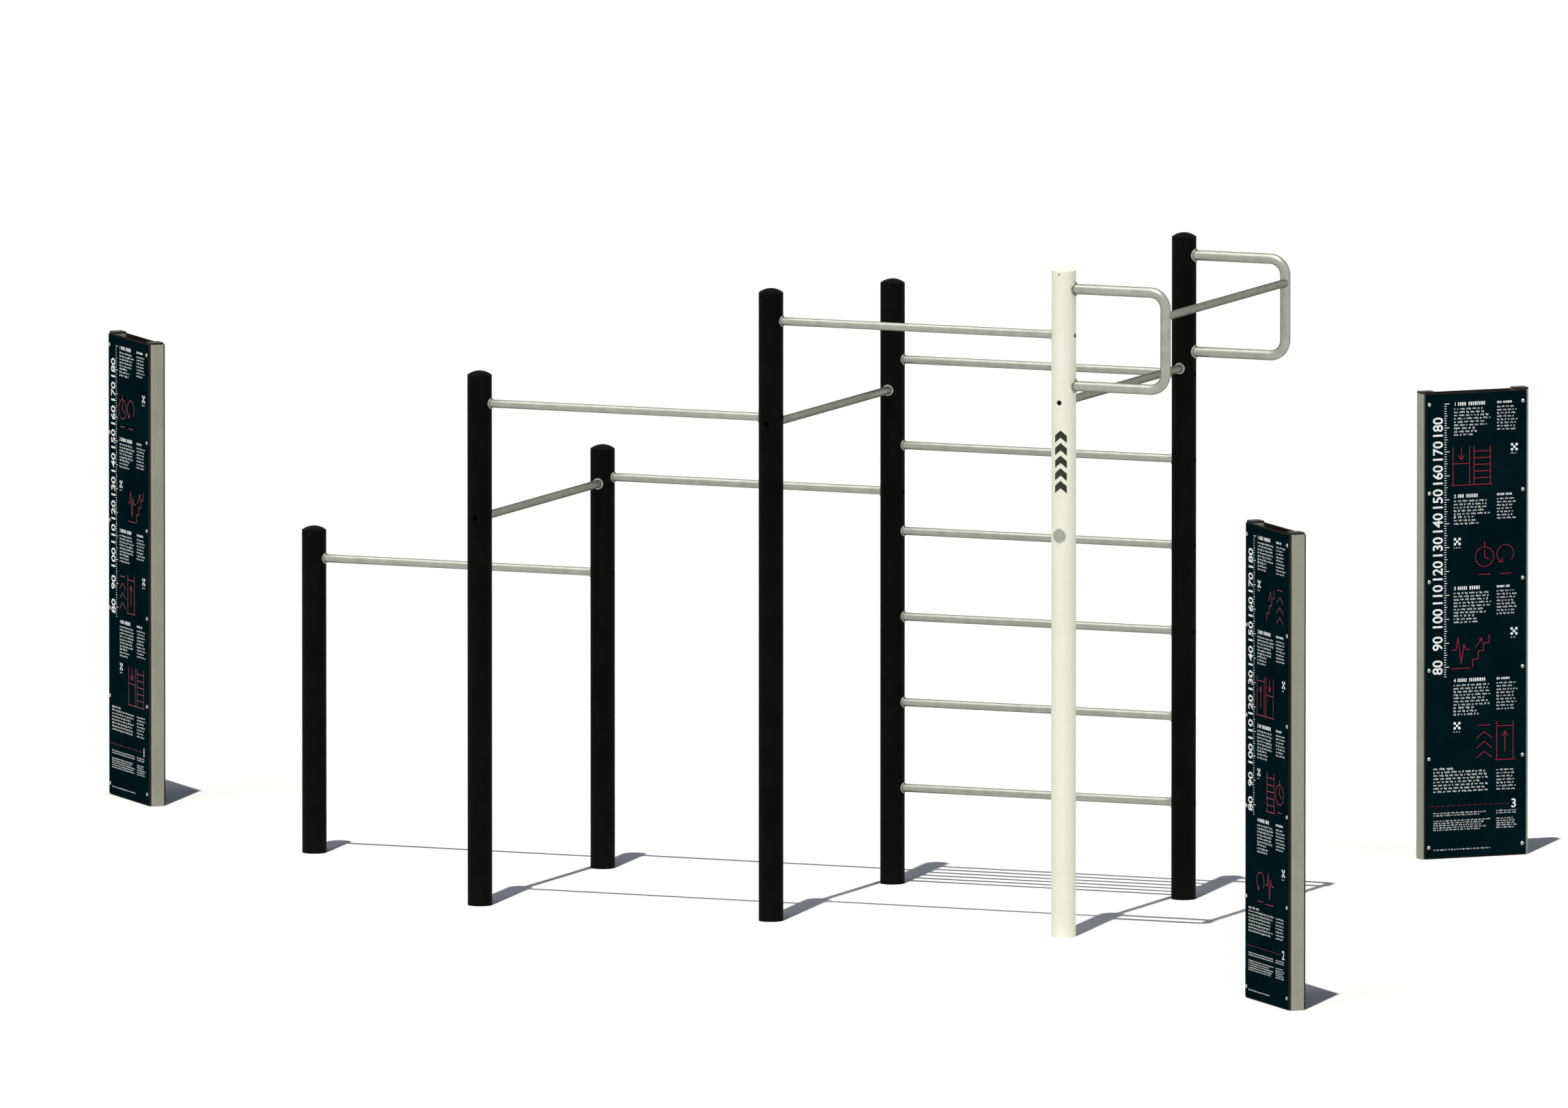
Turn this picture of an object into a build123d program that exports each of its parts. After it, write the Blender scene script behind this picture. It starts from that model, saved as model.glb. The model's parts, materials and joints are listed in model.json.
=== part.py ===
from build123d import *
import os
from math import cos, radians, sin

os.makedirs("parts", exist_ok=True)

# An outdoor training set: seven posts on a square grid, joined by horizontal bars,
# a ladder of wall bars, a pair of looped brackets with a grip bar between them,
# and three information boards that stand round the posts.
# Millimetres. +Z is up and the ground is at zero. The origin is the centre of the
# whole footprint. The front row of posts is the one towards -Y.

# Ground plan
post_pitch_x = 1300.0
post_pitch_y = 1300.0
front_left_x = -767.0
front_row_y = -707.0
board_spread_x = 6867.0
board_spread_y = 4670.0
left_board_y = 1897.0
rear_board_x = 2414.0
board_turn = 45.0

# Posts
post_diameter = 101.6
post_wall = 3.6
far_left_height = 1350.0
rear_left_height = 1750.0
front_left_height = 2200.0
rear_middle_height = 2500.0
front_middle_height = 2600.0
right_height = 2750.0

# Domed caps on the posts
dome_height = 18.0
cap_wall = 4.0
cap_skirt_depth = 30.0
cap_slip = 0.4
cap_screw_diameter = 6.0
cap_screw_length = 9.0
cap_screw_hole = 7.0
cap_screw_drop = 13.0
cap_screw_recess = 1.2
cap_thread_clearance = 0.1

# Round bars
bar_diameter = 33.7
bar_wall = 2.6
row_bar_drop = 100.0
left_link_drop = 125.0
middle_link_drop = 425.0
right_link_drop = 525.0
top_rung_drop = 300.0
lowest_rung_top = 417.0
rung_count = 6

# Looped brackets and the grip bar between them
arm_diameter = 42.4
arm_wall = 2.9
bracket_reach = 450.0
upper_arm_drop = 75.0
arm_spacing = 400.0
bracket_bend_radius = 66.0
grip_bar_drop = 155.0
weld_gap = 0.2

# Saddle collars, thin rings that wrap on the post round each bar's end
bar_collar_diameter = 46.0
arm_collar_diameter = 57.0
collar_thickness = 3.8
collar_floor = 1.4
collar_outer_round = 1.2
collar_inner_round = 0.8
seat_gap = 0.2
collar_slip = 0.2

# Bolts that hold each bar end from inside the post
bolt_diameter = 12.0
bolt_head_diameter = 18.0
bolt_head_height = 12.0
bolt_socket_size = 10.0
bolt_socket_depth = 6.0
bolt_length = 36.0
bolt_hole = 13.0
access_hole = 21.0
washer_diameter = 20.0
washer_thickness = 4.0
plug_length = 30.0
plug_slip = 0.15
thread_clearance = 0.1

# Round plate on the front right post
plate_diameter = 54.0
plate_thickness = 1.5
plate_height = 1660.0

# Information boards
sheet_width = 457.0
sheet_thickness = 10.0
sheet_bevel = 3.5
sheet_ground_gap = 2.0
upright_height = 1945.0
upright_width = 62.0
upright_depth = 55.0
upright_corner = 6.0
upright_wall = 3.0
upright_overhang = 13.0
board_cap_height = 8.0
board_cap_edge = 1.5
board_cap_skirt = 18.0
board_cap_slip = 0.3
board_screw_rows = 6
board_screw_inset = 18.0
board_screw_margin = 46.0
board_screw_diameter = 8.0
board_screw_hole = 8.6
board_screw_reach = 6.0
board_head_diameter = 16.0
board_head_height = 4.4
board_head_bevel = 3.0

overrun = 5.0

post_radius = post_diameter / 2
post_bore = post_radius - post_wall
bar_radius = bar_diameter / 2
arm_radius = arm_diameter / 2
collar_back = post_radius + seat_gap
collar_front = collar_back + collar_thickness
collar_seat = collar_back + collar_floor
bar_end_reach = collar_seat + collar_slip
upper_arm_height = right_height - upper_arm_drop
lower_arm_height = upper_arm_height - arm_spacing
grip_bar_height = right_height - grip_bar_drop - bar_radius

column_x = {
    "far_left": front_left_x - post_pitch_x,
    "left": front_left_x,
    "middle": front_left_x + post_pitch_x,
    "right": front_left_x + 2 * post_pitch_x,
}
row_y = {"front": front_row_y, "rear": front_row_y + post_pitch_y}

# Each post: its place on the ground and its height
posts = {
    "far_left_post": (column_x["far_left"], row_y["rear"], far_left_height),
    "rear_left_post": (column_x["left"], row_y["rear"], rear_left_height),
    "front_left_post": (column_x["left"], row_y["front"], front_left_height),
    "rear_middle_post": (column_x["middle"], row_y["rear"], rear_middle_height),
    "front_middle_post": (column_x["middle"], row_y["front"], front_middle_height),
    "rear_right_post": (column_x["right"], row_y["rear"], right_height),
    "front_right_post": (column_x["right"], row_y["front"], right_height),
}


def level_below(start, end, drop):
    """Height of a bar's centre, its top lying a drop below the top of its lower post."""
    return min(posts[start][2], posts[end][2]) - drop - bar_radius


# Each bar: the two posts that it joins and the height of its centre
bars = {}
for bar_name, start, end, drop in (
    ("low_bar", "far_left_post", "rear_left_post", row_bar_drop),
    ("middle_bar", "rear_left_post", "rear_middle_post", row_bar_drop),
    ("high_bar", "front_left_post", "front_middle_post", row_bar_drop),
    ("top_bar", "front_middle_post", "front_right_post", row_bar_drop),
    ("left_link_bar", "front_left_post", "rear_left_post", left_link_drop),
    ("middle_link_bar", "front_middle_post", "rear_middle_post", middle_link_drop),
    ("right_link_bar", "front_right_post", "rear_right_post", right_link_drop),
):
    bars[bar_name] = (start, end, level_below(start, end, drop))

# The wall bars are spread evenly up to the top one
wall_posts = ("rear_middle_post", "rear_right_post")
lowest_rung = lowest_rung_top - bar_radius
rung_pitch = (level_below(*wall_posts, top_rung_drop) - lowest_rung) / (rung_count - 1)
for rung in range(rung_count):
    bars[f"wall_bar_{rung + 1}"] = (*wall_posts, lowest_rung + rung * rung_pitch)

brackets = {"front_grip_bracket": "front_right_post", "rear_grip_bracket": "rear_right_post"}


def heading_between(start, end):
    """Compass heading, in degrees from +X, of a bar that runs along X or along Y."""
    return 0 if posts[start][1] == posts[end][1] else 90


# Where each bar or arm end meets its post: the post, the heading away from it, the height
bar_ends = []
for start, end, level in bars.values():
    bar_heading = heading_between(start, end)
    bar_ends.append((start, bar_heading, level))
    bar_ends.append((end, bar_heading + 180, level))
arm_ends = []
for post_name in brackets.values():
    arm_ends.append((post_name, 0, upper_arm_height))
    arm_ends.append((post_name, 0, lower_arm_height))


def keep(piece, name):
    """Label a finished piece and write it to its own file."""
    piece.label = name
    export_step(piece, f"parts/{name}.step")


def side_plane(post_name, heading, level):
    """Plane through a post's axis, whose normal points out of the post along a heading."""
    x, y, _ = posts[post_name]
    turn = radians(heading)
    return Plane(origin=(x, y, level), x_dir=(-sin(turn), cos(turn), 0), z_dir=(cos(turn), sin(turn), 0))


def end_locations(ends):
    """Places for copies of a fitting that is drawn on a post at the origin, facing +X."""
    places = []
    for post_name, heading, level in ends:
        x, y, _ = posts[post_name]
        places.append(Location((x, y, level), (0, 0, heading)))
    return places


def make_post(name):
    """Tube with a bolt hole behind each bar end and a wider tool hole opposite."""
    x, y, height = posts[name]
    with BuildPart() as post:
        with BuildSketch(Plane((x, y, 0))):
            Circle(post_radius)
            Circle(post_bore, mode=Mode.SUBTRACT)
        extrude(amount=height)
        for post_name, heading, level in bar_ends + arm_ends:
            if post_name == name:
                with BuildSketch(side_plane(name, heading, level)):
                    Circle(bolt_hole / 2)
                extrude(amount=post_radius + overrun, mode=Mode.SUBTRACT)
                with BuildSketch(side_plane(name, heading + 180, level)):
                    Circle(access_hole / 2)
                extrude(amount=post_radius + overrun, mode=Mode.SUBTRACT)
        with BuildSketch(side_plane(name, -90, height - cap_screw_drop)):
            Circle(cap_screw_hole / 2)
        extrude(amount=post_radius + overrun, mode=Mode.SUBTRACT)
    keep(post.part, name)


def dome_sphere(base_radius, height):
    """Radius of the sphere that a shallow dome is cut from."""
    return (base_radius**2 + height**2) / (2 * height)


def make_post_cap(name):
    """Domed lid with a skirt that drops inside the tube."""
    x, y, height = posts[name]
    skirt_radius = post_bore - cap_slip
    skirt_bore = skirt_radius - cap_wall
    inner_height = dome_height - cap_wall
    with BuildPart() as cap:
        with BuildSketch(Plane((x, y, height), x_dir=(1, 0, 0), z_dir=(0, -1, 0))):
            with BuildLine():
                Line((0, inner_height), (0, dome_height))
                RadiusArc((0, dome_height), (post_radius, 0), dome_sphere(post_radius, dome_height))
                Polyline(
                    (post_radius, 0),
                    (skirt_radius, 0),
                    (skirt_radius, -cap_skirt_depth),
                    (skirt_bore, -cap_skirt_depth),
                    (skirt_bore, 0),
                )
                RadiusArc((skirt_bore, 0), (0, inner_height), -dome_sphere(skirt_bore, inner_height))
            make_face()
        revolve(axis=Axis((x, y, height), (0, 0, 1)))
        with BuildSketch(side_plane(name, -90, height - cap_screw_drop)):
            Circle(cap_screw_diameter / 2 + cap_thread_clearance)
        extrude(amount=post_bore, mode=Mode.SUBTRACT)
    keep(cap.part, f"{name}_cap")


def make_bar(name):
    """Plain tube between two posts, its ends hollowed to the curve of each collar's floor."""
    start, end, level = bars[name]
    heading = heading_between(start, end)
    pitch = post_pitch_x if heading == 0 else post_pitch_y
    with BuildPart() as bar:
        with BuildSketch(side_plane(start, heading, level)):
            Circle(bar_radius)
            Circle(bar_radius - bar_wall, mode=Mode.SUBTRACT)
        extrude(amount=pitch)
        with BuildSketch(Plane((0, 0, level - bar_diameter))):
            with Locations(posts[start][:2], posts[end][:2]):
                Circle(bar_end_reach)
        extrude(amount=2 * bar_diameter, mode=Mode.SUBTRACT)
    keep(bar.part, name)


def make_bracket(name):
    """One tube bent into a U, both ends on the same post and hollowed to its curve."""
    post_name = brackets[name]
    x, y, _ = posts[post_name]
    with BuildPart() as bracket:
        with BuildLine(Plane((x, y, 0), x_dir=(1, 0, 0), z_dir=(0, -1, 0))) as centre_line:
            FilletPolyline(
                (0, upper_arm_height),
                (bracket_reach, upper_arm_height),
                (bracket_reach, lower_arm_height),
                (0, lower_arm_height),
                radius=bracket_bend_radius,
            )
        with BuildSketch(side_plane(post_name, 0, upper_arm_height)):
            Circle(arm_radius)
            Circle(arm_radius - arm_wall, mode=Mode.SUBTRACT)
        sweep(path=centre_line.line)
        with BuildSketch(Plane((x, y, lower_arm_height - arm_diameter))):
            Circle(bar_end_reach)
        extrude(amount=arm_spacing + 2 * arm_diameter, mode=Mode.SUBTRACT)
    keep(bracket.part, name)


def make_grip_bar():
    """Tube between the two looped brackets, its ends hollowed to fit their uprights."""
    x = column_x["right"] + bracket_reach
    with BuildPart() as grip_bar:
        with BuildSketch(Plane((x, row_y["front"], grip_bar_height), x_dir=(1, 0, 0), z_dir=(0, 1, 0))):
            Circle(bar_radius)
            Circle(bar_radius - bar_wall, mode=Mode.SUBTRACT)
        extrude(amount=post_pitch_y)
        with BuildSketch(Plane((0, 0, grip_bar_height - bar_radius - overrun))):
            with Locations((x, row_y["front"]), (x, row_y["rear"])):
                Circle(arm_radius + weld_gap)
        extrude(amount=bar_diameter + 2 * overrun, mode=Mode.SUBTRACT)
    keep(grip_bar.part, "grip_bar")


def copies(fitting, ends, name):
    """One node that holds a copy of a fitting at every bar end."""
    with BuildPart() as group:
        with Locations(*end_locations(ends)):
            add(fitting.part)
    keep(group.part, name)


def make_collars(tube_diameter, collar_diameter, ends, name):
    """Ring curved to the post on both sides, with a socket for the tube and a floor in it."""
    with BuildPart() as socket:
        with BuildSketch(Plane.YZ):
            Circle(tube_diameter / 2 + collar_slip)
        extrude(amount=post_diameter)
        with BuildSketch(Plane.XY.offset(-tube_diameter)):
            Circle(collar_seat)
        extrude(amount=2 * tube_diameter, mode=Mode.SUBTRACT)
    with BuildPart() as collar:
        with BuildSketch(Plane.XY.offset(-collar_diameter)):
            Circle(collar_front)
            Circle(collar_back, mode=Mode.SUBTRACT)
        extrude(amount=2 * collar_diameter)
        with BuildSketch(Plane.YZ):
            Circle(collar_diameter / 2)
            Circle(bolt_hole / 2, mode=Mode.SUBTRACT)
        extrude(amount=post_diameter, mode=Mode.INTERSECT)
        outer_rim = collar.faces().sort_by(Axis.X)[-1].outer_wire().edges()
        fillet(outer_rim, collar_outer_round)
        add(socket.part, mode=Mode.SUBTRACT)
        inner_rim = collar.faces().sort_by(Axis.X)[-1].inner_wires().edges()
        fillet(inner_rim, collar_inner_round)
    copies(collar, ends, name)


def make_end_plugs(tube_diameter, wall, ends, name):
    """Threaded plug inside the tube's end, hollowed to the same curve as the tube."""
    with BuildPart() as plug:
        with BuildSketch(Plane.YZ):
            Circle(tube_diameter / 2 - wall - plug_slip)
            Circle(bolt_diameter / 2 + thread_clearance, mode=Mode.SUBTRACT)
        extrude(amount=bar_end_reach + plug_length)
        with BuildSketch(Plane.XY.offset(-tube_diameter)):
            Circle(bar_end_reach)
        extrude(amount=2 * tube_diameter, mode=Mode.SUBTRACT)
    copies(plug, ends, name)


def make_bolts():
    """Socket head bolt: its head is inside the post and its shank reaches into the plug."""
    head_seat = post_bore - washer_thickness
    with BuildPart() as bolt:
        with BuildSketch(Plane.YZ.offset(head_seat - bolt_head_height)):
            Circle(bolt_head_diameter / 2)
        extrude(amount=bolt_head_height)
        with BuildSketch(Plane.YZ.offset(head_seat)):
            Circle(bolt_diameter / 2)
        extrude(amount=bolt_length)
        with BuildSketch(Plane.YZ.offset(head_seat - bolt_head_height)):
            RegularPolygon(bolt_socket_size / 2, 6, major_radius=False)
        extrude(amount=bolt_socket_depth, mode=Mode.SUBTRACT)
    copies(bolt, bar_ends + arm_ends, "bar_end_bolts")


def make_washers():
    """Thick washer under each bolt head, curved on its outer side to the post's bore."""
    with BuildPart() as washer:
        with BuildSketch(Plane.YZ.offset(post_bore - washer_thickness)):
            Circle(washer_diameter / 2)
            Circle(bolt_hole / 2, mode=Mode.SUBTRACT)
        extrude(amount=washer_thickness)
        with BuildSketch(Plane.XY.offset(-washer_diameter)):
            Circle(post_bore - seat_gap)
        extrude(amount=2 * washer_diameter, mode=Mode.INTERSECT)
    copies(washer, bar_ends + arm_ends, "bar_end_washers")


def make_cap_screws():
    """Grub screws that hold the domed caps, set back in holes on the front of the posts."""
    with BuildPart() as screws:
        for name, (_, _, height) in posts.items():
            outer_end = post_radius - cap_screw_recess
            with BuildSketch(side_plane(name, -90, height - cap_screw_drop).offset(outer_end)):
                Circle(cap_screw_diameter / 2)
            extrude(amount=-cap_screw_length)
    keep(screws.part, "post_cap_screws")


def make_round_plate():
    """Thin disc wrapped on the front of the front right post."""
    x, y, _ = posts["front_right_post"]
    back_radius = post_radius + seat_gap
    with BuildPart() as plate:
        with BuildSketch(Plane((x, y, plate_height - plate_diameter))):
            Circle(back_radius + plate_thickness)
            Circle(back_radius, mode=Mode.SUBTRACT)
        extrude(amount=2 * plate_diameter)
        with BuildSketch(side_plane("front_right_post", -90, plate_height)):
            Circle(plate_diameter / 2)
        extrude(amount=post_diameter, mode=Mode.INTERSECT)
    keep(plate.part, "round_plate")


# Boards: two hollow uprights with a sheet screwed to the front and one to the back
upright_offset = sheet_width / 2 + upright_overhang - upright_width / 2
sheet_height = upright_height - sheet_ground_gap
screw_pitch = (sheet_height - 2 * board_screw_margin) / (board_screw_rows - 1)
screw_spacing = sheet_width - 2 * board_screw_inset

boards = {
    "left_board": (-board_spread_x / 2, left_board_y, -board_turn),
    "front_board": (board_spread_x / 2, -board_spread_y / 2, -board_turn),
    "rear_board": (rear_board_x, board_spread_y / 2, board_turn),
}


def board_plane(name, level):
    """Level plane at a board's centre, with x along its width and y towards its back."""
    x, y, turn = boards[name]
    turn = radians(turn)
    return Plane(origin=(x, y, level), x_dir=(cos(turn), sin(turn), 0), z_dir=(0, 0, 1))


def sheet_plane(name, side):
    """Upright plane on the inner face of the front (-1) or back (+1) sheet, facing outwards."""
    ground = board_plane(name, 0)
    outwards = ground.y_dir * side
    centre = ground.origin + outwards * upright_depth / 2 + Vector(0, 0, sheet_ground_gap + sheet_height / 2)
    return Plane(origin=centre, x_dir=ground.x_dir, z_dir=outwards)


def make_board(name):
    for side_name, side in (("left", -1), ("right", 1)):
        with BuildPart() as upright:
            with BuildSketch(board_plane(name, 0)):
                with Locations((side * upright_offset, 0)):
                    RectangleRounded(upright_width, upright_depth, upright_corner)
                    RectangleRounded(
                        upright_width - 2 * upright_wall,
                        upright_depth - 2 * upright_wall,
                        upright_corner - upright_wall,
                        mode=Mode.SUBTRACT,
                    )
            extrude(amount=upright_height)
            with BuildSketch(sheet_plane(name, -1).offset(overrun)):
                with Locations((side * screw_spacing / 2, 0)):
                    with GridLocations(0, screw_pitch, 1, board_screw_rows):
                        Circle(board_screw_hole / 2)
            extrude(amount=-upright_depth - 2 * overrun, mode=Mode.SUBTRACT)
        keep(upright.part, f"{name}_{side_name}_upright")

    for side_name, side in (("front", -1), ("back", 1)):
        face_plane = sheet_plane(name, side)
        with BuildPart() as sheet:
            with BuildSketch(face_plane):
                Rectangle(sheet_width, sheet_height)
                with GridLocations(screw_spacing, screw_pitch, 2, board_screw_rows):
                    Circle(board_screw_hole / 2, mode=Mode.SUBTRACT)
            extrude(amount=sheet_thickness)
            outwards = Axis(face_plane.origin, face_plane.z_dir)
            outer_face = sheet.faces().sort_by(outwards)[-1]
            chamfer(outer_face.outer_wire().edges(), sheet_bevel)
        keep(sheet.part, f"{name}_{side_name}_sheet")

    with BuildPart() as caps:
        with BuildSketch(board_plane(name, upright_height)):
            with Locations((-upright_offset, 0), (upright_offset, 0)):
                RectangleRounded(upright_width, upright_depth, upright_corner)
        extrude(amount=board_cap_height)
        chamfer(caps.faces().group_by(Axis.Z)[-1].edges(), board_cap_edge)
        with BuildSketch(board_plane(name, upright_height)):
            with Locations((-upright_offset, 0), (upright_offset, 0)):
                RectangleRounded(
                    upright_width - 2 * (upright_wall + board_cap_slip),
                    upright_depth - 2 * (upright_wall + board_cap_slip),
                    upright_corner - upright_wall,
                )
        extrude(amount=-board_cap_skirt)
    keep(caps.part, f"{name}_caps")

    with BuildPart() as screws:
        for side in (-1, 1):
            with Locations(sheet_plane(name, side).offset(sheet_thickness)):
                with GridLocations(screw_spacing, screw_pitch, 2, board_screw_rows):
                    add(board_screw.part)
    keep(screws.part, f"{name}_screws")


# Button head screw for the boards, drawn upright with its head above zero
with BuildPart() as board_screw:
    with BuildSketch():
        Circle(board_head_diameter / 2)
    extrude(amount=board_head_height)
    chamfer(board_screw.faces().sort_by(Axis.Z)[-1].edges(), board_head_bevel)
    with BuildSketch():
        Circle(board_screw_diameter / 2)
    extrude(amount=-sheet_thickness - board_screw_reach)

for post_name in posts:
    make_post(post_name)
    make_post_cap(post_name)
make_cap_screws()
for bar_name in bars:
    make_bar(bar_name)
for bracket_name in brackets:
    make_bracket(bracket_name)
make_grip_bar()
make_collars(bar_diameter, bar_collar_diameter, bar_ends, "bar_collars")
make_collars(arm_diameter, arm_collar_diameter, arm_ends, "arm_collars")
make_end_plugs(bar_diameter, bar_wall, bar_ends, "bar_end_plugs")
make_end_plugs(arm_diameter, arm_wall, arm_ends, "arm_end_plugs")
make_bolts()
make_washers()
make_round_plate()
for board_name in boards:
    make_board(board_name)
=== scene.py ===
import json
import random
from math import atan2, cos, pi, radians, sin, sqrt

import bpy
from mathutils import Matrix, Vector


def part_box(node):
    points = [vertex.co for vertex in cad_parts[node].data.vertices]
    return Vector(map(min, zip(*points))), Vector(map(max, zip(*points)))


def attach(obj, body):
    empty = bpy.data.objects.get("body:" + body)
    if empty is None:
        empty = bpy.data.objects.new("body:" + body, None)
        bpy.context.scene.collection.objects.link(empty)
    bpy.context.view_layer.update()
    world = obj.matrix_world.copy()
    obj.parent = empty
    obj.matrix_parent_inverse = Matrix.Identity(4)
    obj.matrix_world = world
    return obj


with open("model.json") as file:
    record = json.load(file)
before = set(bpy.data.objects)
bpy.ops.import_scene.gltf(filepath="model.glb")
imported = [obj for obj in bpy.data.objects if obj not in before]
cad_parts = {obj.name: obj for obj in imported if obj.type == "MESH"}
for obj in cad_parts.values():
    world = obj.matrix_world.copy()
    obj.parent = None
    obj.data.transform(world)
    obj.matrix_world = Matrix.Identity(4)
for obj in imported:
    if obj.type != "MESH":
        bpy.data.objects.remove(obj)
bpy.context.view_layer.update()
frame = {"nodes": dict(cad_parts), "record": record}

# Looks for an outdoor training set: seven posts, their bars, two looped brackets and three boards.
# Metres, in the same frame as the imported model.

nodes = frame["nodes"]
print("frame:", len(nodes), "nodes")


def middleOf(name):
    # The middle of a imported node's box, brought down to the ground
    low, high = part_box(name)
    return Vector(((low.x + high.x) / 2, (low.y + high.y) / 2, 0.0))


# Camera: the picture is a parallel projection, so the camera stands far back with a long lens
cameraView = {
    "azimuth": radians(22.7),
    "elevation": radians(6.98),
    "target": middleOf("front_right_post") + Vector((-1.578, 0.803, 1.414)),
    "distance": 210.0,
    "pictureWidth": 6.466,  # metres that the picture spans at the target
    "sensorWidth": 36.0,
}


def makeCamera(look):
    around, up = look["azimuth"], look["elevation"]
    back = Vector((sin(around) * cos(up), -cos(around) * cos(up), sin(up)))
    data = bpy.data.cameras.new("camera")
    data.sensor_fit = "HORIZONTAL"
    data.sensor_width = look["sensorWidth"]
    data.lens = look["sensorWidth"] * look["distance"] / look["pictureWidth"]
    data.clip_start = 1.0
    data.clip_end = 2 * look["distance"]
    camera = bpy.data.objects.new("camera", data)
    bpy.context.scene.collection.objects.link(camera)
    camera.location = look["target"] + back * look["distance"]
    camera.rotation_euler = (-back).to_track_quat("-Z", "Y").to_euler()
    bpy.context.scene.camera = camera


# Light: a high key that falls almost straight down from the front, two low wide fills for the
# paint, a soft strip whose glint runs along the bars, and a pale sky. Irradiance is shared so that
# a flat white floor comes out at just about 1. A lamp lights matt faces, gloss, or both.
lamps = {
    "key": {
        "towards": (-0.063, 0.551, -2.083), "irradiance": 0.92, "spread": radians(0.5),
        "colour": "#fffdf6", "matt": True, "gloss": True,
    },
    "front fill": {
        "towards": (0.38, 0.87, -0.23), "irradiance": 0.292, "spread": radians(56),
        "colour": "#fbfbff", "matt": True, "gloss": False,
    },
    "right fill": {
        "towards": (-0.93, 0.28, -0.19), "irradiance": 0.245, "spread": radians(56),
        "colour": "#fbfbff", "matt": True, "gloss": False,
    },
    "bar strip": {
        "towards": (0.383, 0.185, -0.905), "irradiance": 0.12, "spread": radians(42),
        "colour": "#ffffff", "matt": False, "gloss": True,
    },
}
skyLook = {"strength": 0.088, "colour": "#bfd5fb", "seen": "#ffffff"}
floorLook = {"size": 90.0, "level": -0.0005, "seen": "#ffffff", "bounce": "#e6e6e3"}


def linear(hexColour):
    # sRGB hex colour as the linear values that the shaders take
    channels = [int(hexColour[start:start + 2], 16) / 255 for start in (1, 3, 5)]
    return (*[c / 12.92 if c <= 0.04045 else ((c + 0.055) / 1.055) ** 2.4 for c in channels], 1.0)


def addNode(tree, kind, settings={}, inputs={}):
    # inputs holds plain values, or the outputs that feed them
    node = tree.nodes.new("ShaderNode" + kind)
    for field, value in settings.items():
        setattr(node, field, value)
    for socket, value in inputs.items():
        if isinstance(value, bpy.types.NodeSocket):
            tree.links.new(value, node.inputs[socket])
        else:
            node.inputs[socket].default_value = value
    return node


def seenDirectly(tree):
    # 1 for rays from the camera, from gloss and through glass, 0 for the light that falls on things
    path = addNode(tree, "LightPath")
    seen = path.outputs["Is Camera Ray"]
    for ray in ("Is Glossy Ray", "Is Transmission Ray"):
        seen = addNode(tree, "Math", {"operation": "MAXIMUM"}, {0: seen, 1: path.outputs[ray]}).outputs[0]
    return seen


def makeLights():
    for name, look in lamps.items():
        data = bpy.data.lights.new(name, "SUN")
        data.energy = look["irradiance"] * pi
        data.angle = look["spread"]
        data.color = linear(look["colour"])[:3]
        lamp = bpy.data.objects.new(name, data)
        bpy.context.scene.collection.objects.link(lamp)
        lamp.rotation_euler = Vector(look["towards"]).to_track_quat("-Z", "Y").to_euler()
        lamp.visible_diffuse, lamp.visible_glossy = look["matt"], look["gloss"]

    world = bpy.data.worlds.new("sky")
    bpy.context.scene.world = world
    world.use_nodes = True
    tree = world.node_tree
    tree.nodes.clear()
    lit = addNode(tree, "Background", {}, {
        "Color": linear(skyLook["colour"]), "Strength": skyLook["strength"],
    })
    seen = addNode(tree, "Background", {}, {"Color": linear(skyLook["seen"]), "Strength": 1.0})
    sky = addNode(tree, "MixShader", {}, {
        0: seenDirectly(tree), 1: lit.outputs[0], 2: seen.outputs[0],
    })
    addNode(tree, "OutputWorld", {}, {"Surface": sky.outputs[0]})


def makeFloor(look):
    bpy.ops.object.select_all(action="DESELECT")
    bpy.ops.mesh.primitive_plane_add(size=look["size"], location=(0, 0, look["level"]))
    floor = bpy.context.object
    floor.name = "floor"
    material = bpy.data.materials.new("pale studio floor")
    material.use_nodes = True
    tree = material.node_tree
    tree.nodes.clear()
    colour = addNode(tree, "Mix", {"data_type": "RGBA"}, {
        0: seenDirectly(tree), 6: linear(look["bounce"]), 7: linear(look["seen"]),
    })
    paint = addNode(tree, "BsdfDiffuse", {}, {"Color": colour.outputs[2]})
    addNode(tree, "OutputMaterial", {}, {"Surface": paint.outputs[0]})
    floor.data.materials.append(material)


bpy.context.scene.view_settings.view_transform = "Standard"
makeCamera(cameraView)
makeLights()
makeFloor(floorLook)
print("camera, lights and floor")


# Materials. Each look has its shader's own values, two close colours that drift over patches, and
# a grain with its bump. Sizes are in metres. The grain of ground, blasted, plated and moulded faces
# and the lines along the bars are finer than the render can show, so they are drawn coarser.
coatNoise = {
    "patchDetail": 4.0, "patchRoughness": 0.6, "patchRange": (0.36, 0.64),
    "grainDetail": 2.0, "grainRoughness": 0.5, "grainRange": (0.3, 0.7),
}
boardDepth = 0.075  # over both sheets


def startMaterial(name, look):
    material = bpy.data.materials.new(name)
    material.use_nodes = True
    tree = material.node_tree
    tree.nodes.clear()
    shader = addNode(tree, "BsdfPrincipled", {}, look["shader"])
    addNode(tree, "OutputMaterial", {}, {"Surface": shader.outputs[0]})
    return material, tree, shader


def centredOn(tree, centre=(0, 0, 0), turn=0.0):
    # Object coordinates measured from a piece's own centre and along its own sides
    place = addNode(tree, "TexCoord")
    return addNode(tree, "Mapping", {"vector_type": "TEXTURE"}, {
        "Vector": place.outputs["Object"], "Location": centre, "Rotation": (0, 0, turn),
    }).outputs[0]


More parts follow.
